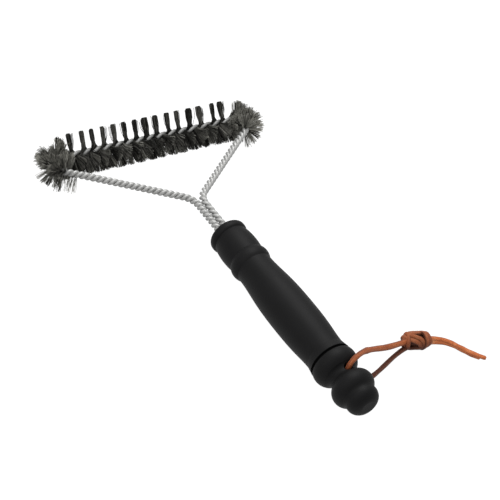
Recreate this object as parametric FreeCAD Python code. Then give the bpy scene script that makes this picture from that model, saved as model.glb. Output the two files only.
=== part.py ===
import FreeCAD, Part
import math
import os

# Grill cleaning brush with a triangular twisted-wire head, lying flat.
# Millimetres. +Y runs along the handle towards the head, +X across the head, +Z up.
# The origin is under the middle of the brush, on the surface that it lies on.

V = FreeCAD.Vector
X_AXIS = V(1, 0, 0)
Y_AXIS = V(0, 1, 0)
Z_AXIS = V(0, 0, 1)

# ---- driving dimensions ----
overall_length = 305.0        # butt of the handle to the bristle tips: a 12 inch brush
handle_length = 176.5
handle_radius = 16.0          # at the belly of the grip, which rests on the surface
bristle_radius = 16.0         # wire axis to bristle tip
axis_height = 16.0            # every axis lies in one plane, this far up

bar_half_width = 97.6         # to the sharp corner of the triangle, before the bend
junction_from_handle = 40.1   # where the two arms meet the doubled stem
stem_half_spacing = 2.9       # the two ropes of the doubled stem lie side by side
corner_bend_radius = 8.0
junction_bend_radius = 16.0

wire_radius = 1.4
wire_half_gap = 0.1           # bristles are pinched in this gap between the two wires
tang_depth = 58.0             # how far the wire ends reach into the handle
socket_radius = 7.0
socket_depth = 62.0

half_twist = 9.2              # one bundle of bristles sits in every half twist
bundle_count = 15
bundle_thickness = 5.4
fan_core = 0.6                # the fan's bristles stop short of the bend's own centre
wire_clearance = 0.05

hang_hole_radius = 3.0
hang_hole_from_front = 149.0  # in the cove in front of the knob
lace_radius = 1.8
lace_bend_share = 0.45        # share of the shorter run that an arc takes up
knot_half_length = 12.0
knot_radius = 7.8

# ---- worked out from them ----
front_y = handle_length - overall_length / 2.0
butt_y = front_y - handle_length
bar_y = overall_length / 2.0 - bristle_radius
junction_y = front_y + junction_from_handle
hole_y = front_y - hang_hole_from_front
pair_offset = wire_radius + wire_half_gap

os.makedirs("parts", exist_ok=True)


def save(node, shape):
    """Writes one solid to its own file."""
    solid = shape.Solids[0] if len(shape.Solids) == 1 else shape
    if len(shape.Solids) != 1 or not solid.isValid():
        raise ValueError("%s has %d solids, valid: %s" % (node, len(shape.Solids), shape.isValid()))
    solid.exportStep("parts/%s.step" % node)
    print("%-28s %10.1f mm3" % (node, solid.Volume))


# ---- handle ----

def station(back, radius):
    """A point of the handle's outline: back from its front face, and out from its axis."""
    return V(radius, front_y - back, axis_height)


def bead(start, crest, end):
    """A round stretch of the outline through three (back, radius) pairs."""
    return Part.Arc(station(*start), station(*crest), station(*end)).toShape()


def swell(stations):
    """A long smooth stretch of the outline, level at both of its ends."""
    curve = Part.BSplineCurve()
    level = V(0, -1, 0)
    curve.interpolate(Points=[station(*s) for s in stations], InitialTangent=level, FinalTangent=level)
    return curve.toShape()


def handle_outline():
    """The turned outline from the rim of the front face back to the flat of the butt."""
    nose = bead((0.0, 10.8), (1.3, 13.2), (4.2, 14.0))
    nose_back = bead((4.2, 14.0), (6.1, 13.7), (7.2, 12.9))
    collar = bead((7.2, 12.9), (17.5, 14.2), (28.4, 13.4))
    ridge = bead((28.4, 13.4), (33.4, 14.8), (38.4, 13.3))
    grip = swell([(38.4, 13.3), (62.0, 15.1), (88.0, handle_radius), (112.0, 15.2), (126.6, 14.2)])
    flare = bead((126.6, 14.2), (130.2, 14.8), (132.8, 15.3))
    groove = bead((132.8, 15.3), (133.6, 14.1), (134.4, 15.4))
    bulge = bead((134.4, 15.4), (139.6, 15.9), (145.2, 13.0))
    cove = bead((145.2, 13.0), (148.6, 10.7), (152.4, 12.4))
    knob = bead((152.4, 12.4), (158.6, 15.2), (165.0, 12.6))
    waist = bead((165.0, 12.6), (166.6, 11.8), (168.4, 11.7))
    dome = bead((168.4, 11.7), (173.8, 9.9), (handle_length, 5.0))
    return [nose, nose_back, collar, ridge, grip, flare, groove, bulge, cove, knob, waist, dome]


def make_handle():
    """The turned grip, with a blind socket for the wires and a cross hole for the lace."""
    outline = handle_outline()
    butt = Part.makeLine(station(handle_length, 5.0), station(handle_length, 0.0))
    axis = Part.makeLine(station(handle_length, 0.0), station(0.0, 0.0))
    face_line = Part.makeLine(station(0.0, 0.0), station(0.0, 10.8))
    profile = Part.Face(Part.Wire(outline + [butt, axis, face_line]))
    grip = profile.revolve(V(0, 0, axis_height), Y_AXIS, 360)
    socket = Part.makeCylinder(socket_radius, socket_depth, V(0, front_y, axis_height), -Y_AXIS)
    hole_span = 4 * handle_radius
    hole = Part.makeCylinder(hang_hole_radius, hole_span, V(0, hole_y, axis_height - hole_span / 2), Z_AXIS)
    return grip.cut(socket).cut(hole)


# ---- wire frame ----

def frame_points():
    """Tangent points of the right half of the wire's route, from its end in the handle to the bar."""
    corner = V(bar_half_width, bar_y, 0)
    junction = V(stem_half_spacing, junction_y, 0)
    along_arm = (corner - junction).normalize()
    half_turn = math.acos(along_arm.dot(Y_AXIS)) / 2
    junction_cut = junction_bend_radius * math.tan(half_turn)
    half_corner = math.acos(along_arm.dot(X_AXIS)) / 2
    corner_cut = corner_bend_radius / math.tan(half_corner)
    return {
        "tang": V(stem_half_spacing, front_y - tang_depth, 0),
        "stem_top": junction - Y_AXIS * junction_cut,
        "stem_centre": junction - Y_AXIS * junction_cut + X_AXIS * junction_bend_radius,
        "arm_start": junction + along_arm * junction_cut,
        "arm_end": corner - along_arm * corner_cut,
        "corner_centre": corner - X_AXIS * corner_cut - Y_AXIS * corner_bend_radius,
        "bar_end": corner - X_AXIS * corner_cut,
    }


def arc_middle(centre, start, end):
    """The point half way round an arc about centre."""
    bisector = ((start - centre) + (end - centre)).normalize()
    return centre + bisector * (start - centre).Length


def rod(path_edges, start, direction, radius):
    """A round wire along straight lines and tangent arcs."""
    section = Part.Wire(Part.makeCircle(radius, start, direction))
    return Part.Wire(path_edges).makePipeShell([section], True, False)


def mirrored(shape, side):
    """The right half's shape, or its mirror image for the left half."""
    if side == "right":
        return shape
    return shape.mirror(V(0, 0, 0), X_AXIS)


def stem_path(p, lift):
    """From the wire's end in the handle to the end of the bend at the junction."""
    up = Z_AXIS * lift
    middle = arc_middle(p["stem_centre"], p["stem_top"], p["arm_start"])
    line = Part.makeLine(p["tang"] + up, p["stem_top"] + up)
    arc = Part.Arc(p["stem_top"] + up, middle + up, p["arm_start"] + up).toShape()
    return [line, arc]


def corner_path(p, lift):
    """Round the tight bend at the end of the bar."""
    up = Z_AXIS * lift
    middle = arc_middle(p["corner_centre"], p["arm_end"], p["bar_end"])
    return [Part.Arc(p["arm_end"] + up, middle + up, p["bar_end"] + up).toShape()]


def make_wires(p):
    """Two wires run side by side along the whole frame, each as seven lengths end to end."""
    lengths = {}
    for wire, offset in (("a", pair_offset), ("b", -pair_offset)):
        lift = axis_height + offset
        up = Z_AXIS * lift
        along_arm = (p["arm_end"] - p["arm_start"]).normalize()
        for side in ("left", "right"):
            stem = rod(stem_path(p, lift), p["tang"] + up, Y_AXIS, wire_radius)
            arm = rod([Part.makeLine(p["arm_start"] + up, p["arm_end"] + up)], p["arm_start"] + up,
                      along_arm, wire_radius)
            corner = rod(corner_path(p, lift), p["arm_end"] + up, along_arm, wire_radius)
            lengths["wire_%s_%s_stem" % (wire, side)] = mirrored(stem, side)
            lengths["wire_%s_%s_arm" % (wire, side)] = mirrored(arm, side)
            lengths["wire_%s_%s_corner" % (wire, side)] = mirrored(corner, side)
        bar_start = V(-p["bar_end"].x, bar_y, lift)
        lengths["wire_%s_bar" % wire] = Part.makeCylinder(wire_radius, 2 * p["bar_end"].x, bar_start, X_AXIS)
    return lengths


def make_socket_filler():
    """The resin that locks the four wire ends in the handle's socket."""
    filler = Part.makeCylinder(socket_radius, socket_depth, V(0, front_y, axis_height), -Y_AXIS)
    for x in (-stem_half_spacing, stem_half_spacing):
        for offset in (-pair_offset, pair_offset):
            end = V(x, front_y - tang_depth, axis_height + offset)
            filler = filler.cut(Part.makeCylinder(wire_radius, tang_depth, end, Y_AXIS))
    return filler


# ---- bristles ----

def make_bundle(x):
    """One half twist's bristles, a disc round the bar with a hole for each wire."""
    start = V(x - bundle_thickness / 2, bar_y, axis_height)
    disc = Part.makeCylinder(bristle_radius, bundle_thickness, start, X_AXIS)
    for offset in (-pair_offset, pair_offset):
        centre = start + Z_AXIS * offset
        disc = disc.cut(Part.makeCylinder(wire_radius + wire_clearance, bundle_thickness, centre, X_AXIS))
    return disc


def make_fan(p):
    """The bristles that spread round the tight bend at the right end of the bar."""
    centre = p["corner_centre"] + Z_AXIS * axis_height
    reach = corner_bend_radius + bristle_radius
    inner = math.sqrt(bristle_radius ** 2 - (corner_bend_radius - fan_core) ** 2)
    up_inner = centre + V(0, fan_core, inner)
    down_inner = centre + V(0, fan_core, -inner)
    rim = Part.Arc(up_inner, centre + V(0, reach, 0), down_inner).toShape()
    section = Part.Face(Part.Wire([rim, Part.makeLine(down_inner, up_inner)]))
    start = p["bar_end"] - p["corner_centre"]
    end = p["arm_end"] - p["corner_centre"]
    sweep = math.degrees(math.acos(start.dot(end) / corner_bend_radius ** 2))
    fan = section.revolve(centre, -Z_AXIS, sweep)
    for offset in (-pair_offset, pair_offset):
        ring_centre = centre + Z_AXIS * offset
        fan = fan.cut(Part.makeTorus(corner_bend_radius, wire_radius + wire_clearance, ring_centre, Z_AXIS))
    return fan


# ---- lace ----
# The leather lace passes down through the handle, and its two halves meet in one knot.

upper_route = [
    V(0.0, hole_y, axis_height),
    V(0.0, hole_y, 22.5),
    V(0.8, -124.8, 29.2),
    V(8.5, -121.9, 31.0),
    V(19.0, -117.5, 27.0),
    V(32.0, -113.8, 20.0),
    V(46.0, -111.3, 13.4),
    V(59.0, -109.6, 10.2),
    V(72.0, -109.0, 9.8),
    V(84.5, -110.8, 8.8),
    V(94.5, -113.2, 6.4),
    V(101.8, -119.0, 4.3),
    V(108.9, -127.7, 3.0),
    V(115.6, -135.2, 1.9),
]
lower_route = [
    V(0.0, hole_y, axis_height),
    V(0.0, hole_y, 9.6),
    V(0.5, -125.1, 3.2),
    V(8.6, -125.6, 1.9),
    V(20.5, -124.4, 1.9),
    V(32.0, -121.4, 1.9),
    V(44.0, -117.0, 2.1),
    V(56.0, -112.6, 3.0),
    V(68.0, -110.0, 4.6),
    V(80.0, -111.4, 4.6),
    V(90.0, -114.2, 2.4),
    V(98.6, -120.0, 1.9),
    V(105.2, -129.0, 1.9),
    V(112.2, -137.6, 1.9),
]
knot_centre = V(76.0, -109.9, knot_radius)
knot_axis = V(0.966, -0.259, 0)


def lace_path(route):
    """Straight runs joined by tangent arcs, and the radius of each arc."""
    edges = []
    radii = []
    last = route[0]
    for before, here, after in zip(route, route[1:], route[2:]):
        back = (before - here).normalize()
        ahead = (after - here).normalize()
        half_turn = (math.pi - back.getAngle(ahead)) / 2
        cut = lace_bend_share * min((before - here).Length, (after - here).Length)
        radius = cut / math.tan(half_turn)
        start = here + back * cut
        end = here + ahead * cut
        to_centre = (back + ahead).normalize()
        middle = here + to_centre * (radius / math.cos(half_turn) - radius)
        edges.append(Part.LineSegment(last, start).toShape())
        edges.append(Part.Arc(start, middle, end).toShape())
        radii.append(radius)
        last = end
    edges.append(Part.LineSegment(last, route[-1]).toShape())
    return edges, radii


def make_lace(name, route):
    """One half of the lace as a plain round cord."""
    edges, radii = lace_path(route)
    length = sum(edge.Length for edge in edges)
    cord = rod(edges, route[0], (route[1] - route[0]).normalize(), lace_radius)
    section = math.pi * lace_radius ** 2
    print("%s: length %.1f mm, volume over section times length %.4f" % (name, length,
          cord.Volume / (section * length)))
    print("  radii " + " ".join("%.1f" % radius for radius in radii))
    return cord


def make_knot(cords):
    """The outer shape of the knot, with the two cords running through it."""
    tip = V(knot_half_length, 0, 0)
    rim = Part.Arc(Part.Ellipse(V(0, 0, 0), knot_half_length, knot_radius), 0, math.pi).toShape()
    section = Part.Face(Part.Wire([rim, Part.makeLine(-tip, tip)]))
    knot = section.revolve(V(0, 0, 0), X_AXIS, 360)
    knot.rotate(V(0, 0, 0), Z_AXIS, math.degrees(math.atan2(knot_axis.y, knot_axis.x)))
    knot.translate(knot_centre)
    for cord in cords:
        knot = knot.cut(cord)
    return knot


# ---- the whole brush ----

points = frame_points()
save("handle_grip", make_handle())
save("socket_resin", make_socket_filler())
for node, shape in make_wires(points).items():
    save(node, shape)
for index in range(bundle_count):
    bundle_x = (index - (bundle_count - 1) / 2) * half_twist
    save("bristle_bundle_%02d" % (index + 1), make_bundle(bundle_x))
right_fan = make_fan(points)
save("right_bristle_fan", mirrored(right_fan, "right"))
save("left_bristle_fan", mirrored(right_fan, "left"))
upper_lace = make_lace("lace_upper_half", upper_route)
lower_lace = make_lace("lace_lower_half", lower_route)
save("lace_upper_half", upper_lace)
save("lace_lower_half", lower_lace)
save("lace_knot", make_knot([upper_lace, lower_lace]))
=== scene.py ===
import math

import bpy
import numpy as np
from mathutils import Matrix, Vector


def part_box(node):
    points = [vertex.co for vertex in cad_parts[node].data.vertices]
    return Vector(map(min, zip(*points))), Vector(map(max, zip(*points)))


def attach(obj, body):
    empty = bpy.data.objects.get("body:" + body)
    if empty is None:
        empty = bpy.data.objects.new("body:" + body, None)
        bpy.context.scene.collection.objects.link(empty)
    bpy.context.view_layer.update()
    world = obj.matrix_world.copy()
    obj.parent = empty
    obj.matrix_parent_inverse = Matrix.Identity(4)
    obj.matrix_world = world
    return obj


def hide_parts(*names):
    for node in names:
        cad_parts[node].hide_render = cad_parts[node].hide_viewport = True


# Looks of a grill cleaning brush: twisted wire frame, steel bristles, turned grip, leather lace.
# Metres and radians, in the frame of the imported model. Names that end in _mm hold millimetres,
# and names that end in _deg hold degrees.

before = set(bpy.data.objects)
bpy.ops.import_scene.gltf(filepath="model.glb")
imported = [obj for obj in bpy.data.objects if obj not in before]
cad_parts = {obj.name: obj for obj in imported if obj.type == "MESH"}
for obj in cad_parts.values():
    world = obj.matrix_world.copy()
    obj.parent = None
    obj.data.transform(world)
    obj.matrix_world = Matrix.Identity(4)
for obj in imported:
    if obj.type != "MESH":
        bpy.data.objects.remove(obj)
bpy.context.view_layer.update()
MM = 0.001

# ---- places read from the frame ----
bar_low, bar_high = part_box("wire_a_bar")
lower_bar_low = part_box("wire_b_bar")[0]
stem_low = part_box("wire_a_right_stem")[0]
corner_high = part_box("wire_a_right_corner")[1]
bundle_low, bundle_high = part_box("bristle_bundle_01")
grip_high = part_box("handle_grip")[1]
resin_low, resin_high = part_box("socket_resin")

wire_radius = (bar_high.z - bar_low.z) / 2
bar_y = (bar_high.y + bar_low.y) / 2
bar_end = bar_high.x
axis_z = (bar_high.z + lower_bar_low.z) / 2
corner_bend = corner_high.x - wire_radius - bar_end
stem_x = stem_low.x + wire_radius
tang_y = stem_low.y
bristle_reach = (bundle_high.z - bundle_low.z) / 2
bundle_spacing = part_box("bristle_bundle_02")[0].x - bundle_low.x
bundle_names = sorted(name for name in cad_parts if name.startswith("bristle_bundle_"))
front_y = grip_high.y

# ---- the wires' twist ----
junction_bend = 0.016
junction_y = front_y + 0.0401
strand_offset = wire_radius              # the two wires touch along the rope's middle
left_stem_half_twist = 0.0040
left_arm_half_twist = 0.0041
right_arm_half_twist = 0.0050
right_stem_half_twist = 0.0049
twist_blend = 0.006                      # length over which one rate of twist turns into the next
arm_twist_start = junction_y - 0.004     # the arms' rate of twist begins here, the stems' ends
route_step = 0.0004
wire_sides = 12
crevice_shade = 0.90                   # painted shade: how much of the wires' brightness is lost in the gap between them
crevice_relief = 0.9                     # and the share of that painted shade taken back where the gap looks up, towards the light
crevice_edge = 0.7                       # cosine of the angle from which the gap's painted shade is full
# painted shade on what faces down
underside_shade = 0.45
brushed_dulling = 0.5                    # between the tufts
brushed_end = 0.078                      # which reach this far from the bar's middle
brushed_fade = 0.006                     # and the dulling fades out over this length
top_shade = 0.32                       # painted shade on what faces up towards the light, dimming its reflection

# ---- bristles ----
tuft_slips_mm = [0.1, 1.3, 0.4, -0.5, -0.1, -0.2, -0.4, -0.6, -1.2, 0.2, -0.1, 0.6, 1.6, 4.1, 2.9]
fan_gaps_mm = {"left": [9.2, 9.2, 8.6], "right": [12.0, 8.4, 8.0]}
tuft_angle = math.radians(52)            # of the upper tufts, from +Y towards +Z
bristle_radius = 0.00021
fan_bristle_radius = 0.00017
bundle_clumps = 24
bristles_per_clump = 11
upper_pinch = 0.04                       # how much of a half twist's turn the upper tuft keeps
lower_pinch = 0.86                       # and the mass below
bristle_sides = 3
reach_noise = 0.00045                    # of the single bristles' lengths
clump_reach_noise = 0.00035
clump_wear = 0.0003                      # how much shorter the clumps are worn, on average
longest_over = 0.0003                    # the longest bristles go this far past the bundle's circle
sway_noise = (0.00015, 0.0004)           # of a single bristle's lean, and of a whole tuft's
clump_width_noise = 0.3                  # of the clumps' places, as a share of one clump's width
clump_noise_deg = (1.2, 8.7)             # of the clumps' angles, in the upper tuft and in the mass below
bristle_noise_deg = (0.9, 5.9)           # and of the single bristles'
clump_slip = 0.0007                      # how far the clumps of the mass below part
tuft_thickness = 0.0027
mass_thickness = 0.0014
tuft_rounding = 0.0011                   # how much shorter the bristles at a tuft's sides are
tuft_splays = (0.0002, 0.0003, 0.0007)   # how far a tuft's clumps part, one of these for each tuft
root_scatter = math.radians(15)
loose_share = 0.05                       # of a tuft's bristles, which stand out of it
loose_lean = 0.0012                      # and by how much
tuft_tone = 0.44                         # how light the bristles' ends are, at most
mass_tone = 1.0
fan_tone = 1.9
fan_clumps = {"left": 92, "right": 104}
fan_per_clump = 11
fan_scatter = {"left": math.radians(31), "right": math.radians(40)}
fan_reach_mm = {"left": (71.5, 95.0), "right": (73.0, 92.0)}     # from the bar's middle, round the bend
fan_thin_spots = {                       # distances, angles and the share of clumps left there
    "left": [(83.5, 87.5, -28, 15, 0.4), (74.5, 80.5, 25, 110, 0.3), (80.5, 88.0, 30, 46, 0.15)],
    "right": [(86.0, 92.0, 28, 70, 0.2)]}
fan_trim_mm = {"left": 0.4, "right": 1.8}                        # off the fan's upper side
fan_spread = 0.0003                      # noise of a clump's place, and of its bristles' roots,
fan_tip_noise = 0.00045                  # of their tips' places,
fan_angle_noise = math.radians(3.5)      # of their angles,
fan_reach_noise = 0.0005                 # of their lengths
fan_sway = 0.0006                        # and of their lean
fan_wear = 0.0014                        # how much shorter the clumps are worn, on average
fan_longest_over = 0.0004                # the longest bristles go this far past the bundles' circle
fan_gather = 0.25                        # clumps before the first tuft keep this share of their distance
fan_gather_mm = 0.8                      # from it, and are this much shorter
fan_limit = math.radians(115)            # the clumps part at this angle, to clear the bend's two wires
fan_limit_give = 0.45                    # and keep this much of their turn past it
fan_cover = {"left": 44, "right": 70}    # clumps that lie over the bend's wires
fan_cover_start = 0.001                  # before the first tuft
fan_cover_end = 0.092                    # from the bar's middle
fan_cover_deg = (60, 150)
fan_inner = {"left": 46, "right": 84}    # clumps that lean across the triangle's corner
fan_inner_mm = {"left": (84.0, 98.5), "right": (83.0, 95.0)}
fan_inner_deg = {"left": (125, 168), "right": (125, 182)}
fan_front = {"left": 52, "right": 16}    # clumps that lean away from it
fan_front_mm = (81.5, 93.5)
fan_front_deg = (5, 95)
fan_strays = 6                           # a few thin clumps along the arm
fan_strays_mm = {"left": (98.0, 104.0), "right": (93.0, 96.0)}
fan_strays_deg = (-75, -45)
strays_per_clump = 5
laid_spread = 2.0                        # how much more the clumps laid over the fan open
random_seed = 44
fan_seed = {"left": 6, "right": 25}

# ---- colours, each from dark to light ----
# the colour that the wires' painted shade, and their darkening between the tufts, goes to
wire_shade_and_grime_colour = (0.045, 0.045, 0.042)
wire_tones = ((0.42, 0.42, 0.412), (0.56, 0.56, 0.55))
bristle_tones = ((0.0015, 0.0015, 0.0015), (0.007, 0.007, 0.006))
worn_tones = ((0.13, 0.13, 0.112), (0.33, 0.322, 0.29))          # the bristles' ends
grip_tones = ((0.0022, 0.0022, 0.0023), (0.0042, 0.0042, 0.0044))
resin_tones = ((0.03, 0.03, 0.028), (0.06, 0.058, 0.052))
flesh_tones = ((0.33, 0.072, 0.020), (0.56, 0.155, 0.048), (0.69, 0.30, 0.135))
fibre_tones = ((0.45, 0.45, 0.45), (1.1, 1.1, 1.1))              # multiplied with the flesh side's
# the dark grain side's colour, also used for painted shade
grain_and_shade_tones = ((0.016, 0.0035, 0.0015), (0.060, 0.014, 0.005))
floor_tones = ((0.05, 0.05, 0.05), (0.07, 0.07, 0.07))

# ---- grip ----
groove_y = front_y - 0.1335
groove_shade = (0.0009, 0.0015)           # painted shade: within the first the groove reflects nothing, past the second it reflects as the rest does

# ---- cast fill in the socket ----
resin_recess = 0.0004
resin_dish = 0.0005
resin_rings = 10
resin_centre = 0.02                      # the innermost ring's share of the radius
resin_sides = 48

# ---- lace ----
lace_width = 0.0040
lace_thickness = 0.0030
lace_tail_scale = 0.80                   # the thong narrows past its knot,
lace_tail_x = (0.084, 0.096)             # between these two places
lace_cut_end = (0.7, 0.6)                # how the width and the thickness shrink at the cut
lace_unevenness = 0.06
lace_grain = {"upper": 0.32, "lower": 0.86}                      # how much dark grain side shows
lace_grain_x = (0.072, 0.082)            # up to the knot, fading out between these two places
lace_sides = 12
strap_squareness = 0.75                  # one gives an ellipse, less a strap with flatter sides
knot_heading = math.radians(-15)
knot_route_mm = [                        # distance along the knot, angle from behind to up, distance out
    (-9.8, 145, 3.8), (-7.2, 65, 4.6), (0.0, 58, 5.2), (4.6, 20, 5.2), (5.6, 315, 5.0), (5.4, 240, 5.2),
    (6.4, 155, 5.6), (5.4, 75, 5.4), (1.0, 15, 4.6), (-6.0, 345, 4.2), (-9.0, 40, 4.0), (-6.6, 105, 4.9),
    (-0.6, 138, 5.4), (2.6, 195, 5.2), (-3.6, 225, 5.0), (-8.8, 215, 4.2)]
knot_strap = 0.0034
knot_gap = 0.00150                       # each strap's middle from the pair's middle
knot_points = 190
knot_core = (0.0088, 0.0046)             # half length and radius of a dark core, painted shade that shows between the straps
knot_core_rings = 12
knot_core_end = 0.05                     # radians left open at each end of the core
# painted shade: how dark the core is
knot_core_shade = 0.97
knot_flatness = 0.75                     # the straps' thickness over their width
knot_unevenness = 0.06
knot_lean = 0.6                          # how much the straps' faces turn along the knot
knot_darkening = 0.55                        # the knot is darker than the loose lengths
knot_underside_shade = 0.45                    # and painted shade makes it darker still towards its underside,
knot_low_height = 0.009                  # over this height
knot_edge_grain = 0.95


# =====================================================================
# mesh helpers
# =====================================================================

def make_piece(name, vertices, faces, material, smooth=True):
    """A mesh object from points and faces, riding on the brush."""
    mesh = bpy.data.meshes.new(name)
    mesh.from_pydata([tuple(v) for v in np.asarray(vertices, float)], [], [tuple(f) for f in faces])
    mesh.validate()
    piece = bpy.data.objects.new(name, mesh)
    bpy.context.scene.collection.objects.link(piece)
    for polygon in mesh.polygons:
        polygon.use_smooth = smooth
    mesh.materials.append(material)
    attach(piece, "root")
    return piece


def set_attribute(piece, name, values):
    """A value per point that the material reads by name."""
    attribute = piece.data.attributes.new(name, "FLOAT", "POINT")
    attribute.data.foreach_set("value", np.asarray(values, np.float32))


def tube_faces(rings, sides, loop=False):
    """Quads between rings of points. A tube that isn't a loop gets one polygon at each end."""
    faces = []
    for ring in range(rings if loop else rings - 1):
        here = ring * sides
        there = (ring + 1) % rings * sides
        for side in range(sides):
            beside = (side + 1) % sides
            faces.append((here + side, here + beside, there + beside, there + side))
    if not loop:
        faces.append(tuple(reversed(range(sides))))
        last = (rings - 1) * sides
        faces.append(tuple(last + side for side in range(sides)))
    return faces


def unit(vectors):
    """Vectors scaled to length one."""
    return vectors / np.linalg.norm(vectors, axis=-1, keepdims=True)


# =====================================================================
# materials
# =====================================================================

class Shader:
    """A small helper that adds nodes to a new material and links them."""

    def __init__(self, name):
        self.material = bpy.data.materials.new(name)
        self.material.use_nodes = True
        self.tree = self.material.node_tree
        self.surface = self.tree.nodes["Principled BSDF"]

    def node(self, kind, inputs=(), **settings):
        made = self.tree.nodes.new(kind)
        for key, value in settings.items():
            setattr(made, key, value)
        for key, value in dict(inputs).items():
            if isinstance(value, bpy.types.NodeSocket):
                self.tree.links.new(value, made.inputs[key])
            else:
                made.inputs[key].default_value = value
        return made

    def place(self, scale=(1, 1, 1)):
        """Object coordinates, stretched."""
        coordinates = self.node("ShaderNodeTexCoord")
        mapping = self.node("ShaderNodeMapping", {"Vector": coordinates.outputs["Object"], "Scale": scale})
        return mapping.outputs["Vector"]

    def noise(self, where, scale, detail=3.0, roughness=0.5):
        made = self.node("ShaderNodeTexNoise", {"Vector": where, "Scale": scale, "Detail": detail,
                                                "Roughness": roughness})
        return made.outputs["Fac"]

    def ramp(self, value, positions, colours):
        """A value turned into a colour, with one colour at each position."""
        made = self.node("ShaderNodeValToRGB", {"Fac": value})
        elements = made.color_ramp.elements
        while len(elements) < len(colours):
            elements.new(0.5)
        for element, position, colour in zip(elements, positions, colours):
            element.position = position
            element.color = (*colour, 1)
        return made.outputs["Color"]

    def levels(self, value, low, high):
        """A value from 0 to 1 turned into one from low to high."""
        made = self.node("ShaderNodeMapRange", {"Value": value, "To Min": low, "To Max": high})
        return made.outputs["Result"]

    def mix(self, factor, first, second, blend="MIX"):
        made = self.node("ShaderNodeMix", data_type="RGBA", blend_type=blend)
        for socket, value in ((made.inputs[0], factor), (made.inputs[6], first), (made.inputs[7], second)):
            if isinstance(value, bpy.types.NodeSocket):
                self.tree.links.new(value, socket)
            elif isinstance(value, tuple):
                socket.default_value = (*value, 1)
            else:
                socket.default_value = value
        return made.outputs[2]

    def math(self, operation, first, second=0.0):
        made = self.node("ShaderNodeMath", operation=operation)
        for socket, value in zip(made.inputs, (first, second)):
            if isinstance(value, bpy.types.NodeSocket):
                self.tree.links.new(value, socket)
            else:
                socket.default_value = value
        return made.outputs[0]

    def attribute(self, name):
        return self.node("ShaderNodeAttribute", attribute_name=name).outputs["Fac"]

    def bump(self, height, distance, strength=1.0):
        made = self.node("ShaderNodeBump", {"Height": height, "Distance": distance, "Strength": strength})
        self.tree.links.new(made.outputs["Normal"], self.surface.inputs["Normal"])

    def link(self, socket, value):
        self.tree.links.new(value, self.surface.inputs[socket])

    def set(self, **values):
        for key, value in values.items():
            self.surface.inputs[key.replace("_", " ")].default_value = value


def wire_material():
    """Bright galvanised steel with spangle and fine drawing lines, darkened by an attribute of painted
    shade in its crevices, underneath and on top, and darker between the tufts.
    """
    shader = Shader("galvanised_wire")
    where = shader.place()
    spangle = shader.noise(where, 900, 2.0)
    patchiness = shader.noise(where, 140, 4.0, 0.6)
    scratches = shader.noise(shader.place((3000, 3000, 300)), 1.0, 2.0)
    # painted shade from the attribute, made patchy, turns the steel dark, rough and dull
    shade_and_grime = shader.math("MULTIPLY", shader.attribute("wire_shade_and_grime"), shader.levels(patchiness, 0.75, 1.25))
    bright = shader.ramp(spangle, (0.3, 0.7), wire_tones)
    shader.link("Base Color", shader.mix(shade_and_grime, bright, wire_shade_and_grime_colour))
    shader.link("Roughness", shader.levels(shade_and_grime, 0.52, 0.64))
    shader.link("Metallic", shader.levels(shade_and_grime, 0.90, 0.25))
    shader.bump(scratches, 0.00004, 0.5)
    return shader.material


def bristle_material():
    """Fine dark steel bristles whose ends are worn lighter."""
    shader = Shader("dark_bristles")
    tone = shader.attribute("bristle_tone")
    along = shader.attribute("bristle_along")
    streaks = shader.noise(shader.place(), 260, 3.0, 0.6)
    dark = shader.ramp(streaks, (0.25, 0.75), bristle_tones)
    light = shader.ramp(streaks, (0.25, 0.75), worn_tones)
    worn = shader.math("MULTIPLY", tone, shader.math("POWER", along, 0.8))
    worn = shader.math("MINIMUM", worn, 1.8)
    shader.link("Base Color", shader.mix(worn, dark, light))
    shader.link("Roughness", shader.levels(streaks, 0.46, 0.62))
    shader.set(Metallic=0.0, Specular_IOR_Level=0.06)
    return shader.material


def grip_material():
    """Satin black plastic with a fine moulded grain and soft rub marks, and painted shade in one groove,
    where it reflects nothing.
    """
    shader = Shader("satin_black_plastic")
    where = shader.place()
    grain = shader.noise(where, 2600, 2.0)
    rub = shader.noise(shader.place((1, 0.35, 1)), 60, 4.0, 0.6)
    shader.link("Base Color", shader.ramp(rub, (0.3, 0.75), grip_tones))
    shader.link("Roughness", shader.levels(rub, 0.52, 0.66))
    # painted shade: the reflection fades out towards the groove
    along = shader.node("ShaderNodeSeparateXYZ", {"Vector": where}).outputs["Y"]
    from_groove = shader.math("ABSOLUTE", shader.math("SUBTRACT", along, groove_y))
    sheen_with_groove_shade = shader.node("ShaderNodeMapRange", {"Value": from_groove, "From Min": groove_shade[0],
                                               "From Max": groove_shade[1], "To Min": 0.0, "To Max": 0.11})
    shader.link("Specular IOR Level", sheen_with_groove_shade.outputs["Result"])
    shader.bump(grain, 0.00005, 0.35)
    return shader.material


def resin_material():
    """Dull cast resin."""
    shader = Shader("socket_resin_cast")
    blotch = shader.noise(shader.place(), 500, 4.0, 0.6)
    shader.link("Base Color", shader.ramp(blotch, (0.3, 0.7), resin_tones))
    shader.bump(blotch, 0.0003, 0.6)
    shader.set(Roughness=0.7)
    return shader.material


def lace_material():
    """Split leather: a rubbed orange flesh side, and by attribute a dark grain side and painted shade under
    the straps and in the knot.
    """
    shader = Shader("split_leather")
    where = shader.place()
    blotch = shader.noise(where, 130, 4.0, 0.6)
    fibre = shader.noise(where, 1500, 4.0, 0.7)
    base = shader.ramp(blotch, (0.2, 0.55, 0.85), flesh_tones)
    speck = shader.ramp(fibre, (0.3, 0.7), fibre_tones)
    flesh = shader.mix(0.75, base, speck, "MULTIPLY")
    dark = shader.ramp(fibre, (0.3, 0.7), grain_and_shade_tones)
    shader.link("Base Color", shader.mix(shader.attribute("grain_side_and_shade"), flesh, dark))
    shader.link("Roughness", shader.levels(fibre, 0.55, 0.8))
    shader.bump(fibre, 0.0005, 0.7)
    shader.set(Specular_IOR_Level=0.25)
    return shader.material


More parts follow.
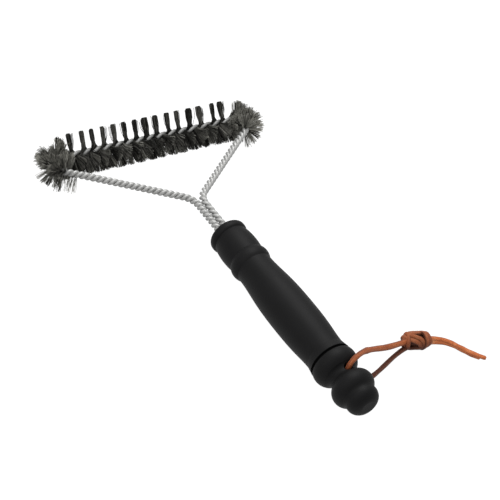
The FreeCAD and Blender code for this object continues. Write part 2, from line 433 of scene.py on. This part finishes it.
def floor_material():
    """A white studio floor that glows evenly, so that no shadow shows on it."""
    shader = Shader("white_floor")
    tooth = shader.noise(shader.place(), 40, 2.0)
    shader.link("Base Color", shader.ramp(tooth, (0.0, 1.0), floor_tones))
    shader.set(Roughness=1.0, Specular_IOR_Level=0.0, Emission_Color=(1, 1, 1, 1), Emission_Strength=1.0)
    return shader.material


# =====================================================================
# camera, light and floor
# =====================================================================

camera_heading = math.radians(42.56)     # from +Y towards +X
camera_dip = math.radians(40.43)
camera_roll = math.radians(15.2)
camera_place = Vector((-0.5153, -0.5672, 0.6742))
camera_lens = 104.1
camera_shift = (-0.0014, 0.0016)
sky_strength = 0.8
floor_half = 6.0


def make_camera():
    """Looks down along the brush from behind the butt of the grip, a little rolled."""
    forward = Vector((math.sin(camera_heading) * math.cos(camera_dip),
                      math.cos(camera_heading) * math.cos(camera_dip), -math.sin(camera_dip)))
    level = Vector((math.cos(camera_heading), -math.sin(camera_heading), 0))
    upright = level.cross(forward)
    right = level * math.cos(camera_roll) + upright * math.sin(camera_roll)
    up = upright * math.cos(camera_roll) - level * math.sin(camera_roll)
    data = bpy.data.cameras.new("photo_camera")
    data.lens = camera_lens
    data.shift_x, data.shift_y = camera_shift
    data.clip_end = 20
    camera = bpy.data.objects.new("photo_camera", data)
    facing = Matrix((right, up, -forward)).transposed().to_4x4()
    camera.matrix_world = Matrix.Translation(camera_place) @ facing
    bpy.context.scene.collection.objects.link(camera)
    bpy.context.scene.camera = camera


def make_light(name, place, target, size, power):
    """A soft square light aimed at a point."""
    data = bpy.data.lights.new(name, "AREA")
    data.shape = "SQUARE"
    data.size = size
    data.energy = power
    light = bpy.data.objects.new(name, data)
    light.location = place
    light.rotation_euler = (Vector(target) - Vector(place)).to_track_quat("-Z", "Y").to_euler()
    bpy.context.scene.collection.objects.link(light)


def make_studio():
    """A white floor and soft light from above, stronger from the upper right of the view."""
    world = bpy.data.worlds.new("studio")
    world.use_nodes = True
    sky = world.node_tree.nodes["Background"]
    sky.inputs["Color"].default_value = (1, 1, 1, 1)
    sky.inputs["Strength"].default_value = sky_strength
    bpy.context.scene.world = world
    make_light("key", (0.25, 0.45, 1.1), (0, 0, 0), 0.7, 16)
    make_light("fill", (-0.9, -0.1, 0.8), (0, 0, 0), 0.8, 4)
    bpy.context.scene.view_settings.view_transform = "Standard"
    corners = [(x * floor_half, y * floor_half, 0) for x, y in ((-1, -1), (1, -1), (1, 1), (-1, 1))]
    mesh = bpy.data.meshes.new("studio_floor")
    mesh.from_pydata(corners, [], [(0, 1, 2, 3)])
    mesh.materials.append(floor_material())
    floor = bpy.data.objects.new("studio_floor", mesh)
    bpy.context.scene.collection.objects.link(floor)


# =====================================================================
# the frame's route, from the left wire end in the grip, round the triangle, to the right one
# =====================================================================

def rotated(vector, angle):
    """A flat vector turned anticlockwise."""
    cosine, sine = math.cos(angle), math.sin(angle)
    return Vector((vector.x * cosine - vector.y * sine, vector.x * sine + vector.y * cosine))


class Route:
    """Points, directions and outward normals every route_step along the wire rope's middle."""

    def __init__(self):
        corner = Vector((bar_end, bar_y)) + Vector((1, 0)) * self.corner_cut()
        junction = Vector((stem_x, junction_y))
        arm = (corner - junction).normalized()
        junction_cut = junction_bend * math.tan(math.acos(arm.y) / 2)
        arm_start = junction + arm * junction_cut
        arm_end = corner - arm * self.corner_cut()
        right = [("line", Vector((stem_x, tang_y)), junction - Vector((0, junction_cut))),
                 ("bend", Vector((0, 1)), arm, junction_bend),
                 ("line", arm_start, arm_end),
                 ("bend", arm, Vector((-1, 0)), corner_bend)]
        self.walk(right)

    def corner_cut(self):
        """From the bar's end to the sharp corner of the triangle."""
        span = Vector((0, bar_y - junction_y))
        low, high = 0.0, 0.1
        for _ in range(60):
            cut = (low + high) / 2
            arm = (Vector((bar_end + cut - stem_x, 0)) + span).normalized()
            half_corner = math.acos(arm.x) / 2
            if cut < corner_bend / math.tan(half_corner):
                low = cut
            else:
                high = cut
        return cut

    def walk(self, right):
        """Samples the right half, then joins it to its mirror image over the bar."""
        points, directions = [], []
        place = None
        for part in right:
            if part[0] == "line":
                start, end = part[1], part[2]
                count = max(2, round((end - start).length / route_step))
                for step in range(count):
                    points.append(start.lerp(end, step / count))
                    directions.append((end - start).normalized())
                place = end
            else:
                first, last, radius = part[1], part[2], part[3]
                turn = first.angle_signed(last)
                side = -1 if turn > 0 else 1
                centre = place + Vector((-first.y, first.x)) * radius * side
                count = max(2, round(abs(turn) * radius / route_step))
                spoke = place - centre
                for step in range(count):
                    points.append(centre + rotated(spoke, -turn * step / count))
                    directions.append(rotated(first, -turn * step / count))
                place = centre + rotated(spoke, -turn)
        half = np.array([tuple(p) for p in points])
        ways = np.array([tuple(d) for d in directions])
        bar_count = round(2 * bar_end / route_step)
        bar_xs = -bar_end + 2 * bar_end * np.arange(bar_count + 1) / bar_count
        bar = np.column_stack([bar_xs, np.full(bar_count + 1, bar_y)])
        bar_ways = np.tile([1.0, 0.0], (bar_count + 1, 1))
        left = half * (-1, 1)
        left_ways = ways * (-1, 1)
        flat = np.vstack([left, bar, half[::-1]])
        flat_ways = np.vstack([left_ways, bar_ways, -ways[::-1]])
        self.points = np.column_stack([flat, np.full(len(flat), axis_z)])
        self.along = np.column_stack([flat_ways, np.zeros(len(flat))])
        self.outward = np.column_stack([-flat_ways[:, 1], flat_ways[:, 0], np.zeros(len(flat))])
        steps = np.linalg.norm(np.diff(self.points, axis=0), axis=1)
        distance = np.concatenate([[0], np.cumsum(steps)])
        middle = len(left) + bar_count // 2
        self.distance = distance - distance[middle]

    def at(self, distance):
        """Point, direction and outward normal at distances from the bar's middle."""
        found = []
        for table in (self.points, self.along, self.outward):
            columns = [np.interp(distance, self.distance, column) for column in table.T]
            found.append(np.stack(columns, -1))
        return found[0], unit(found[1]), unit(found[2])


def tuft_places():
    """Distances along the route of the middle of every half twist that holds bristles."""
    bar = []
    for name, slip in zip(bundle_names, tuft_slips_mm):
        low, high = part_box(name)
        bar.append((low.x + high.x) / 2 + slip * MM)
    left = bar[0] - np.cumsum(fan_gaps_mm["left"]) * MM
    right = bar[-1] + np.cumsum(fan_gaps_mm["right"]) * MM
    return bar, left, right


def half_twist_lengths(route, tufts):
    """The length of half a twist at every sample of the route, eased where it changes."""
    x = route.points[:, 0]
    y = route.points[:, 1]
    arm = np.where(x < 0, left_arm_half_twist, right_arm_half_twist)
    stem = np.where(x < 0, left_stem_half_twist, right_stem_half_twist)
    lengths = np.where(y < arm_twist_start, stem, arm)
    gaps = np.diff(tufts)
    after = np.clip(np.searchsorted(tufts, route.distance) - 1, 0, len(gaps) - 1)
    brushed = (route.distance > tufts[0]) & (route.distance < tufts[-1])
    lengths = np.where(brushed, gaps[after], lengths)
    width = max(1, round(twist_blend / route_step))
    padded = np.pad(1 / lengths, width, mode="edge")
    smooth = np.convolve(padded, np.ones(2 * width + 1) / (2 * width + 1), mode="valid")
    return 1 / smooth


def twist_angles(route, tufts):
    """The angle of the gap between the wires at every sample, from outward towards up."""
    lengths = half_twist_lengths(route, tufts)
    steps = np.diff(route.distance)
    turned = np.concatenate([[0], np.cumsum(steps * math.pi / ((lengths[1:] + lengths[:-1]) / 2))])
    middle = tufts[len(tufts) // 2]
    return tuft_angle - (turned - np.interp(middle, route.distance, turned))


def make_strand(route, angles, name, quarter, material):
    """One of the two wires, a round tube that winds about the route."""
    angle = (angles + quarter)[:, None]
    away = route.outward * np.cos(angle) + np.array([0, 0, 1]) * np.sin(angle)
    middle = route.points + away * strand_offset
    tangent = unit(np.gradient(middle, axis=0))
    across = unit(np.cross(tangent, away))
    inward = np.cross(across, tangent)
    turns = np.linspace(0, 2 * math.pi, wire_sides, endpoint=False)
    rings = (middle[:, None] + wire_radius * (np.cos(turns)[None, :, None] * inward[:, None]
                                              + np.sin(turns)[None, :, None] * across[:, None]))
    faces = tube_faces(len(middle), wire_sides)
    piece = make_piece(name, rings.reshape(-1, 3), faces, material)
    # painted shade, as an attribute: darker in the gap between the wires (less where it looks up),
    # underneath and on top; also darker between the tufts
    normal_z = np.cos(turns)[None, :] * inward[:, None, 2] + np.sin(turns)[None, :] * across[:, None, 2]
    crevice = np.clip(np.cos(turns) / crevice_edge, 0, 1)[None, :] ** 1.3
    underside = np.clip((0.25 - normal_z) / 1.1, 0, 1)
    brushed = np.clip((brushed_end - np.abs(route.distance)) / brushed_fade, 0, 1)[:, None]
    lit = np.clip(normal_z * 0.5 + 0.5, 0, 1)
    top = np.clip(normal_z, 0, 1)
    kept_brightness = 1 - crevice_shade * crevice * (1 - crevice_relief * lit)
    kept_brightness = kept_brightness * (1 - underside_shade * underside) * (1 - brushed_dulling * brushed)
    kept_brightness = kept_brightness * (1 - top_shade * top)
    set_attribute(piece, "wire_shade_and_grime", (1 - kept_brightness).ravel())
    return piece


def make_wires(route, angles, material):
    """Both wires of the rope, in place of the plain lengths of the CAD model."""
    lengths = ["left_stem", "left_arm", "left_corner", "bar", "right_corner", "right_arm", "right_stem"]
    for letter, quarter in (("a", math.pi / 2), ("b", -math.pi / 2)):
        strand = make_strand(route, angles, "twisted_wire_" + letter, quarter, material)
        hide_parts(*["wire_%s_%s" % (letter, length) for length in lengths])


# =====================================================================
# bristles
# =====================================================================

bristle_stations = np.array([0.9, 2.6, 5.0, 9.5, 16.0]) * MM     # from the rope's middle, on a whole one
gather_start = 1.2 * MM                                          # a tuft's bristles gather between
gather_end = 8.0 * MM                                            # these distances


def grow_bristles(route, root_s, root_angle, tip_s, tip_angle, reach, sway):
    """Points of each bristle, from its root between the wires to its tip."""
    share = bristle_stations[None, :] / bristle_stations[-1]
    radius = share * reach[:, None]
    ease = np.clip((bristle_stations - gather_start) / (gather_end - gather_start), 0, 1)
    ease = (ease * ease * (3 - 2 * ease))[None, :]
    s = root_s[:, None] + (tip_s - root_s)[:, None] * ease
    angle = root_angle[:, None] + (tip_angle - root_angle)[:, None] * ease
    place, along, outward = route.at(s)
    away = outward * np.cos(angle)[..., None] + np.array([0, 0, 1]) * np.sin(angle)[..., None]
    lean = sway[:, None] * share ** 1.5
    return place + away * radius[..., None] + along * lean[..., None]


def bristle_mesh(name, paths, tones, rng, material, thickness=bristle_radius):
    """Three-sided wires along the paths, with flat ends, as one piece."""
    count, stations, _ = paths.shape
    way = unit(paths[:, -1] - paths[:, 0])
    helper = unit(rng.normal(size=(count, 3)))
    across = unit(np.cross(way, helper))
    over = np.cross(way, across)
    turns = np.arange(bristle_sides) * 2 * math.pi / bristle_sides
    spokes = (across[:, None] * np.cos(turns)[None, :, None] + over[:, None] * np.sin(turns)[None, :, None])
    vertices = paths[:, :, None] + spokes[:, None] * thickness
    pattern = []
    for station in range(stations - 1):
        base = station * bristle_sides
        above = base + bristle_sides
        for side in range(bristle_sides):
            after = (side + 1) % bristle_sides
            pattern.append((base + side, base + after, above + after))
            pattern.append((base + side, above + after, above + side))
    pattern.append((2, 1, 0))
    last = (stations - 1) * bristle_sides
    pattern.append((last, last + 1, last + 2))
    pattern = np.array(pattern)
    firsts = np.arange(count) * stations * bristle_sides
    faces = (pattern[None] + firsts[:, None, None]).reshape(-1, 3)
    piece = make_piece(name, vertices.reshape(-1, 3), faces.tolist(), material, smooth=False)
    share = np.linspace(0, 1, stations)
    set_attribute(piece, "bristle_along", np.tile(np.repeat(share, bristle_sides), count))
    set_attribute(piece, "bristle_tone", np.repeat(tones, stations * bristle_sides))
    return piece


def gather_bundle(route, rng, middle):
    """One half twist's bristles on the bar: a narrow upper tuft and the broad mass below."""
    paths, tones = [], []
    for half, pinch, share_s, thickness, tone in ((0, upper_pinch, upper_pinch, tuft_thickness, tuft_tone),
                                                  (1, lower_pinch, 1.0, mass_thickness, mass_tone)):
        share = (np.arange(bundle_clumps) + 0.5) / bundle_clumps - 0.5
        share = share + rng.normal(0, clump_width_noise / bundle_clumps, bundle_clumps)
        clump_angle = rng.normal(0, math.radians(clump_noise_deg[half]), bundle_clumps)
        clump_s = rng.normal(0, clump_slip if half else rng.choice(tuft_splays), bundle_clumps)
        clump_reach = rng.normal(0, clump_reach_noise, bundle_clumps)
        clump_reach = clump_reach - rng.exponential(clump_wear, bundle_clumps)
        clump_tone = rng.uniform(0.1, 1.0, bundle_clumps) ** 2.0
        which = np.repeat(np.arange(bundle_clumps), bristles_per_clump)
        total = len(which)
        turn = share[which] + rng.uniform(-0.5, 0.5, total) / bundle_clumps
        root_s = middle + turn * bundle_spacing
        natural = tuft_angle + half * math.pi - turn * math.pi
        root_angle = natural + rng.normal(0, root_scatter, total)
        tip_s = middle + turn * bundle_spacing * share_s
        offset = rng.uniform(-1, 1, total)
        loose = rng.uniform(0, 1, total) < loose_share
        tip_s = tip_s + clump_s[which] + offset * thickness / 2 + loose * rng.normal(0, loose_lean, total)
        tip_angle = tuft_angle + half * math.pi - turn * math.pi * pinch
        noise = rng.normal(0, math.radians(bristle_noise_deg[half]), total)
        tip_angle = tip_angle + clump_angle[which] + noise
        reach = bristle_reach + clump_reach[which] + rng.normal(0, reach_noise, total)
        reach = reach - tuft_rounding * offset ** 2 * (1 - half)
        reach = np.minimum(reach, bristle_reach + longest_over)
        sway = rng.normal(0, sway_noise[0], total) + rng.normal(0, sway_noise[1])
        paths.append(grow_bristles(route, root_s, root_angle, tip_s, tip_angle, reach, sway))
        tones.append(clump_tone[which] * rng.uniform(0.4, 1.0, total) * tone)
    return np.concatenate(paths), np.concatenate(tones)


def make_bundles(route, material):
    """One piece for each half twist along the bar."""
    middles = tuft_places()[0]
    for index, (name, middle) in enumerate(zip(bundle_names, middles)):
        rng = np.random.default_rng(random_seed + index)
        paths, tones = gather_bundle(route, rng, middle)
        piece = bristle_mesh(name.replace("bristle_bundle", "bristles"), paths, tones, rng, material)
        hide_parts(name)


def keep_clear_of_bend(angle):
    """Turns bristles that would point into the bend up or down instead, past its two wires."""
    turned = np.mod(angle + math.pi, 2 * math.pi) - math.pi
    over = np.maximum(np.abs(turned) - fan_limit, 0)
    return np.sign(turned) * (np.minimum(np.abs(turned), fan_limit) + fan_limit_give * over)


def laid_clumps(rng, s, degrees, short_mm, tones):
    """Clumps at the distances s, their angle, shortness and tone drawn from ranges, one per row."""
    angle = np.radians(rng.uniform(*degrees, len(s)))
    reach = bristle_reach - rng.uniform(*short_mm, len(s)) * MM
    return np.column_stack([s, s, angle, reach, rng.uniform(*tones, len(s))])


def fan_clump_list(route, angles, rng, side, first_tuft):
    """Five groups of clumps: root distance, tip distance, angle, reach and tone, one clump per row."""
    sign = -1 if side == "left" else 1
    start, end = fan_reach_mm[side]
    s = np.linspace(start, end, fan_clumps[side]) * MM
    s = np.concatenate([s, s]) + rng.normal(0, fan_spread, 2 * fan_clumps[side])
    half = np.repeat([0, 1], fan_clumps[side])
    natural = np.interp(s * sign, route.distance, angles) + half * math.pi
    angle = keep_clear_of_bend(natural + rng.normal(0, fan_scatter[side], len(s)))
    gathered = (s < first_tuft) & (np.abs(angle - tuft_angle) < math.pi / 2)
    angle = np.where(gathered, tuft_angle + (angle - tuft_angle) * fan_gather, angle)
    tip = np.where(gathered, first_tuft + (s - first_tuft) * fan_gather, s)
    tone = 1.3 * rng.uniform(0.0, 1.0, len(s)) ** 1.4
    reach = bristle_reach - rng.exponential(fan_wear, len(s)) - fan_gather_mm * MM * gathered
    reach = reach - fan_trim_mm[side] * MM * (np.abs(angle - tuft_angle) < math.pi / 2) * ~gathered
    keep = np.ones(len(s), bool)
    for low, high, first, last, share in fan_thin_spots[side]:
        inside = (s / MM > low) & (s / MM < high)
        inside &= (angle > math.radians(first)) & (angle < math.radians(last))
        keep &= ~inside | (rng.uniform(size=len(s)) < share)
    clumps = np.column_stack([s, tip, angle, reach, tone])[keep]

    s = rng.uniform(first_tuft - fan_cover_start, fan_cover_end, fan_cover[side])
    cover = laid_clumps(rng, s, fan_cover_deg, (0.5, 4.0), (0.2, 1.1))
    s = rng.uniform(*fan_inner_mm[side], fan_inner[side]) * MM
    inner = laid_clumps(rng, s, fan_inner_deg[side], (0.5, 5.0), (0.3, 1.2))
    s = rng.uniform(*fan_front_mm, fan_front[side]) * MM
    front = laid_clumps(rng, s, fan_front_deg, (0.5, 5.0), (0.2, 1.1))
    s = np.linspace(*fan_strays_mm[side], fan_strays) * MM
    strays = laid_clumps(rng, s, fan_strays_deg, (1.5, 6.0), (0.4, 1.0))
    return clumps, cover, inner, front, strays


def make_corner_fan(route, angles, material, side):
    """The bristles that spread round one bend."""
    _, left, right = tuft_places()
    sign = -1 if side == "left" else 1
    rng = np.random.default_rng(fan_seed[side])
    first_tuft = abs((left if side == "left" else right)[0])
    paths, tones = [], []
    groups = fan_clump_list(route, angles, rng, side, first_tuft)
    sizes = [fan_per_clump] * (len(groups) - 1) + [strays_per_clump]
    spreads = [1.0] + [laid_spread] * (len(groups) - 1)
    for clumps, per_clump, spread in zip(groups, sizes, spreads):
        rows = np.repeat(clumps, per_clump, axis=0)
        total = len(rows)
        root_s = rows[:, 0] * sign + rng.normal(0, fan_spread, total)
        tip_s = rows[:, 1] * sign + rng.normal(0, fan_tip_noise * spread, total)
        angle = rows[:, 2] + rng.normal(0, fan_angle_noise * spread, total)
        reach = rows[:, 3] + rng.normal(0, fan_reach_noise, total)
        reach = np.minimum(reach, bristle_reach + fan_longest_over)
        sway = rng.normal(0, fan_sway, total)
        paths.append(grow_bristles(route, root_s, angle, tip_s, angle, reach, sway))
        tones.append(rows[:, 4] * rng.uniform(0.4, 1.0, total) * fan_tone)
    piece = bristle_mesh("corner_bristles_" + side, np.concatenate(paths), np.concatenate(tones), rng,
                         material, fan_bristle_radius)
    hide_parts(side + "_bristle_fan")


# =====================================================================
# the cast fill in the grip's socket
# =====================================================================

def make_resin(material):
    """A turned plug round the wire ends, dished and a little below the grip's front face."""
    radius = (resin_high.x - resin_low.x) / 2
    shares = np.concatenate([np.linspace(resin_centre, 1, resin_rings), [1.0]])
    depths = resin_recess + resin_dish * (1 - shares ** 3)
    depths[-1] = resin_high.y - resin_low.y
    turns = np.linspace(0, 2 * math.pi, resin_sides, endpoint=False)
    x = radius * shares[:, None] * np.cos(turns)[None, :]
    z = axis_z + radius * shares[:, None] * np.sin(turns)[None, :]
    y = np.repeat((resin_high.y - depths)[:, None], resin_sides, axis=1)
    vertices = np.stack([x, y, z], -1).reshape(-1, 3)
    plug = make_piece("socket_resin_plug", vertices, tube_faces(len(shares), resin_sides), material)
    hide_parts("socket_resin")


# =====================================================================
# lace
# =====================================================================

def metres(points):
    """Points given in millimetres."""
    return [Vector(p) * MM for p in points]


upper_route = metres([
    (0, -125, 16), (0, -125, 22.5), (0.8, -124.8, 29.2), (8.5, -121.9, 31.0), (19.0, -117.5, 27.0),
    (32.0, -113.8, 20.0), (46.0, -111.3, 13.4), (59.0, -109.6, 10.2), (72.0, -109.0, 9.4),
    (84.5, -111.3, 7.6), (94.5, -113.9, 6.2), (100.9, -118.9, 5.2), (106.5, -127.4, 4.3),
    (111.4, -134.6, 4.0), (116.5, -140.1, 3.9)])
lower_route = metres([
    (0, -125, 16), (0, -125, 9.6), (0.5, -125.1, 3.4), (8.6, -125.6, 2.2), (20.5, -124.4, 2.2),
    (32.0, -121.4, 2.2), (44.0, -117.0, 2.3), (56.0, -112.6, 3.1), (68.0, -110.0, 4.6),
    (80.0, -111.6, 5.8), (91.5, -114.4, 5.0), (101.4, -118.4, 2.9), (107.4, -126.6, 1.9),
    (112.0, -133.7, 1.6), (114.9, -136.6, 1.6)])


def smooth_line(name, route):
    """The points along a NURBS curve that has the route's points as its control points."""
    curve = bpy.data.curves.new(name, "CURVE")
    curve.dimensions = "3D"
    spline = curve.splines.new("NURBS")
    spline.points.add(len(route) - 1)
    for point, place in zip(spline.points, route):
        point.co = (*place, 1)
    spline.order_u = 3
    spline.use_endpoint_u = True
    spline.resolution_u = 12
    carrier = bpy.data.objects.new(name, curve)
    bpy.context.scene.collection.objects.link(carrier)
    bpy.context.view_layer.update()
    evaluated = carrier.evaluated_get(bpy.context.evaluated_depsgraph_get())
    mesh = bpy.data.meshes.new_from_object(evaluated)
    line = np.array([tuple(v.co) for v in mesh.vertices])
    bpy.data.objects.remove(carrier)
    return line


def carried_sides(line):
    """A sideways direction at every point that doesn't spin about the line."""
    tangents = unit(np.gradient(line, axis=0))
    side = np.array([1.0, 0.0, 0.0])
    sides = []
    for tangent in tangents:
        side = unit(side - tangent * np.dot(side, tangent))
        sides.append(side)
    sides = np.array(sides)
    return sides, np.cross(tangents, sides)


def strap_rings(line, sides, overs, widths, heights):
    """Rings of a strap with rounded edges, one at each point of the line."""
    turns = np.linspace(0, 2 * math.pi, lace_sides, endpoint=False)
    cosine, sine = np.cos(turns), np.sin(turns)
    flat_x = np.sign(cosine) * np.abs(cosine) ** strap_squareness / 2
    flat_y = np.sign(sine) * np.abs(sine) ** strap_squareness / 2
    return (line[:, None] + sides[:, None] * (flat_x[None] * widths[:, None])[..., None]
            + overs[:, None] * (flat_y[None] * heights[:, None])[..., None])


def uneven(rng, count, amount):
    """A smoothly wandering factor near one, as cut leather has."""
    knots = rng.normal(1, amount, max(4, count // 5))
    return np.interp(np.linspace(0, len(knots) - 1, count), np.arange(len(knots)), knots)


def strap_grain_and_shade(spokes, whole, edge_grain=0.75):
    """How dark each ring point is: the dark grain side at the strap's edges and over the whole strap by the
    given share, and painted shade on its underside.
    """
    away = unit(spokes)
    turns = np.linspace(0, 2 * math.pi, lace_sides, endpoint=False)
    edge = edge_grain * np.abs(np.cos(turns))[None, :] ** 6
    # painted shade on what faces down
    under = np.clip((0.1 - away[..., 2]) / 0.9, 0, 1)
    light = (1 - edge) * (1 - 0.9 * under) * (1 - np.clip(np.reshape(whole, (-1, 1)), 0, 1))
    return 1 - light


def make_lace_half(half, route, material):
    """One of the lace's two halves: out of the grip's hole, through the knot and on to its end."""
    name = "lace_%s_strand" % half
    rng = np.random.default_rng(random_seed + len(name))
    line = smooth_line(name + "_line", route)
    sides, overs = carried_sides(line)
    scales = np.interp(line[:, 0], lace_tail_x, (1.0, lace_tail_scale))
    widths = lace_width * scales * uneven(rng, len(line), lace_unevenness)
    heights = lace_thickness * scales * uneven(rng, len(line), lace_unevenness)
    widths[-1] *= lace_cut_end[0]
    heights[-1] *= lace_cut_end[1]
    rings = strap_rings(line, sides, overs, widths, heights)
    piece = make_piece(name, rings.reshape(-1, 3), tube_faces(len(line), lace_sides), material)
    dark = strap_grain_and_shade(rings - line[:, None], np.interp(line[:, 0], lace_grain_x, (lace_grain[half], 0)))
    set_attribute(piece, "grain_side_and_shade", dark.ravel())
    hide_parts("lace_%s_half" % half)


def closed_line(corners, count):
    """Points of a smooth closed curve through the corners."""
    at = np.arange(count) * len(corners) / count
    index = at.astype(int)
    part = (at - index)[:, None]
    before, here, after, beyond = [corners[(index + k) % len(corners)] for k in (-1, 0, 1, 2)]
    bend = 3 * (here - after) + beyond - before
    turn = 2 * before - 5 * here + 4 * after - beyond
    return here + 0.5 * part * (after - before + part * (turn + part * bend))


def make_knot(material):
    """Looks like an overhand knot of the doubled lace: two straps in one closed winding round a core
    painted nearly black, as shade between the straps.
    """
    low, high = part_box("lace_knot")
    centre = np.array(tuple((low + high) / 2))
    along = np.array([math.cos(knot_heading), math.sin(knot_heading), 0.0])
    across = np.array([-along[1], along[0], 0.0])
    up = np.array([0.0, 0.0, 1.0])
    corners = []
    for distance, angle, radius in knot_route_mm:
        angle = math.radians(angle)
        spoke = across * math.cos(angle) + up * math.sin(angle)
        corners.append((along * distance + spoke * radius) * MM)
    line = closed_line(np.array(corners), knot_points)
    turn = np.linspace(0, 2 * math.pi, knot_points, endpoint=False)
    tangents = unit(np.roll(line, -1, axis=0) - np.roll(line, 1, axis=0))
    outward = unit(line - along * (knot_lean * (line @ along))[:, None])
    sides = unit(np.cross(tangents, outward))
    overs = np.cross(sides, tangents)
    rng = np.random.default_rng(random_seed)
    vertices, faces, grain = [], [], []

    def add(rings, shades, loop):
        """One more tube in the knot's mesh."""
        first = sum(len(v) for v in vertices)
        vertices.append(rings.reshape(-1, 3))
        grain.append(shades.ravel())
        faces.extend(tuple(first + corner for corner in face)
                     for face in tube_faces(len(rings), lace_sides, loop))

    for offset in (-knot_gap, knot_gap):
        widths = knot_strap * (1 + knot_unevenness * np.sin(5 * turn + rng.uniform(0, 6)))
        heights = knot_strap * knot_flatness * (1 + knot_unevenness * np.sin(4 * turn + rng.uniform(0, 6)))
        middle = centre + line + sides * offset
        rings = strap_rings(middle, sides, overs, widths, heights)
        # painted shade: darker towards the knot's underside
        low_part = np.clip(0.5 - (middle[:, 2] - centre[2]) / knot_low_height, 0, 1)
        whole = knot_darkening + knot_underside_shade * low_part
        add(rings, strap_grain_and_shade(rings - middle[:, None], whole, knot_edge_grain), True)
    # the core, painted nearly all dark as shade between the straps
    angles = np.linspace(knot_core_end, math.pi - knot_core_end, knot_core_rings)
    middle = centre + along * (np.cos(angles) * knot_core[0])[:, None]
    spans = 2 * np.sin(angles) * knot_core[1]
    straight = np.ones((knot_core_rings, 1))
    rings = strap_rings(middle, across * straight, up * straight, spans, spans)
    add(rings, np.full(rings.shape[:2], knot_core_shade), False)
    knot = make_piece("lace_overhand_knot", np.concatenate(vertices), faces, material)
    set_attribute(knot, "grain_side_and_shade", np.concatenate(grain))
    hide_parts("lace_knot")
    return knot


make_camera()
make_studio()
route = Route()
bar_tufts, left_tufts, right_tufts = tuft_places()
angles = twist_angles(route, np.concatenate([left_tufts[::-1], bar_tufts, right_tufts]))
steel = wire_material()
make_wires(route, angles, steel)
bristle_steel = bristle_material()
make_bundles(route, bristle_steel)
make_corner_fan(route, angles, bristle_steel, "left")
make_corner_fan(route, angles, bristle_steel, "right")

grip_plastic = grip_material()
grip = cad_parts["handle_grip"]
grip.data.materials.clear()
grip.data.materials.append(grip_plastic)
make_resin(resin_material())

leather = lace_material()
knot = make_knot(leather)
make_lace_half("upper", upper_route, leather)
make_lace_half("lower", lower_route, leather)
